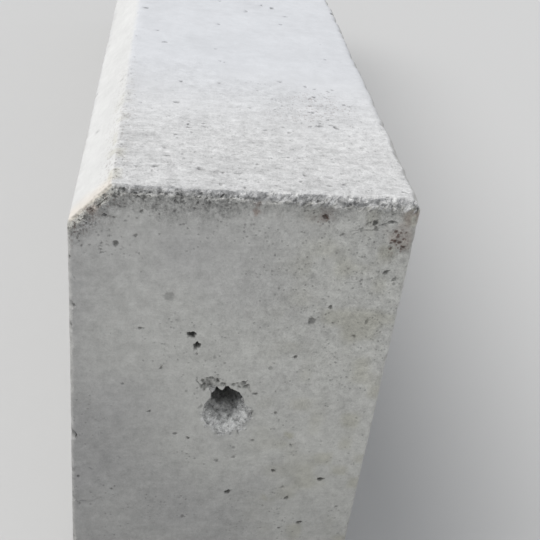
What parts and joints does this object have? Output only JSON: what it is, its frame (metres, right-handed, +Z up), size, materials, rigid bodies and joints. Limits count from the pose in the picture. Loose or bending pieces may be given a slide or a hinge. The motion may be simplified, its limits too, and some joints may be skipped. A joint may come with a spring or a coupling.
{
  "type": "kerb stone",
  "caption": "Straight cast concrete kerb stone of rectangular section with a flat bevel along its road-side top edge and a blind pin hole in the middle of each end.",
  "frame": {"origin": "middle of the underside", "axes": "+Z up, +Y along the length towards the end whose pin hole has a plain flared mouth, -X towards the road, on the side with the bevel"},
  "size_m": [0.15, 1, 0.25],
  "materials": {
    "concrete": "cast, matt, fine-grained with small air holes"
  },
  "bodies": {
    "root": {"kerb_stone": "concrete"}
  },
  "joints": []
}
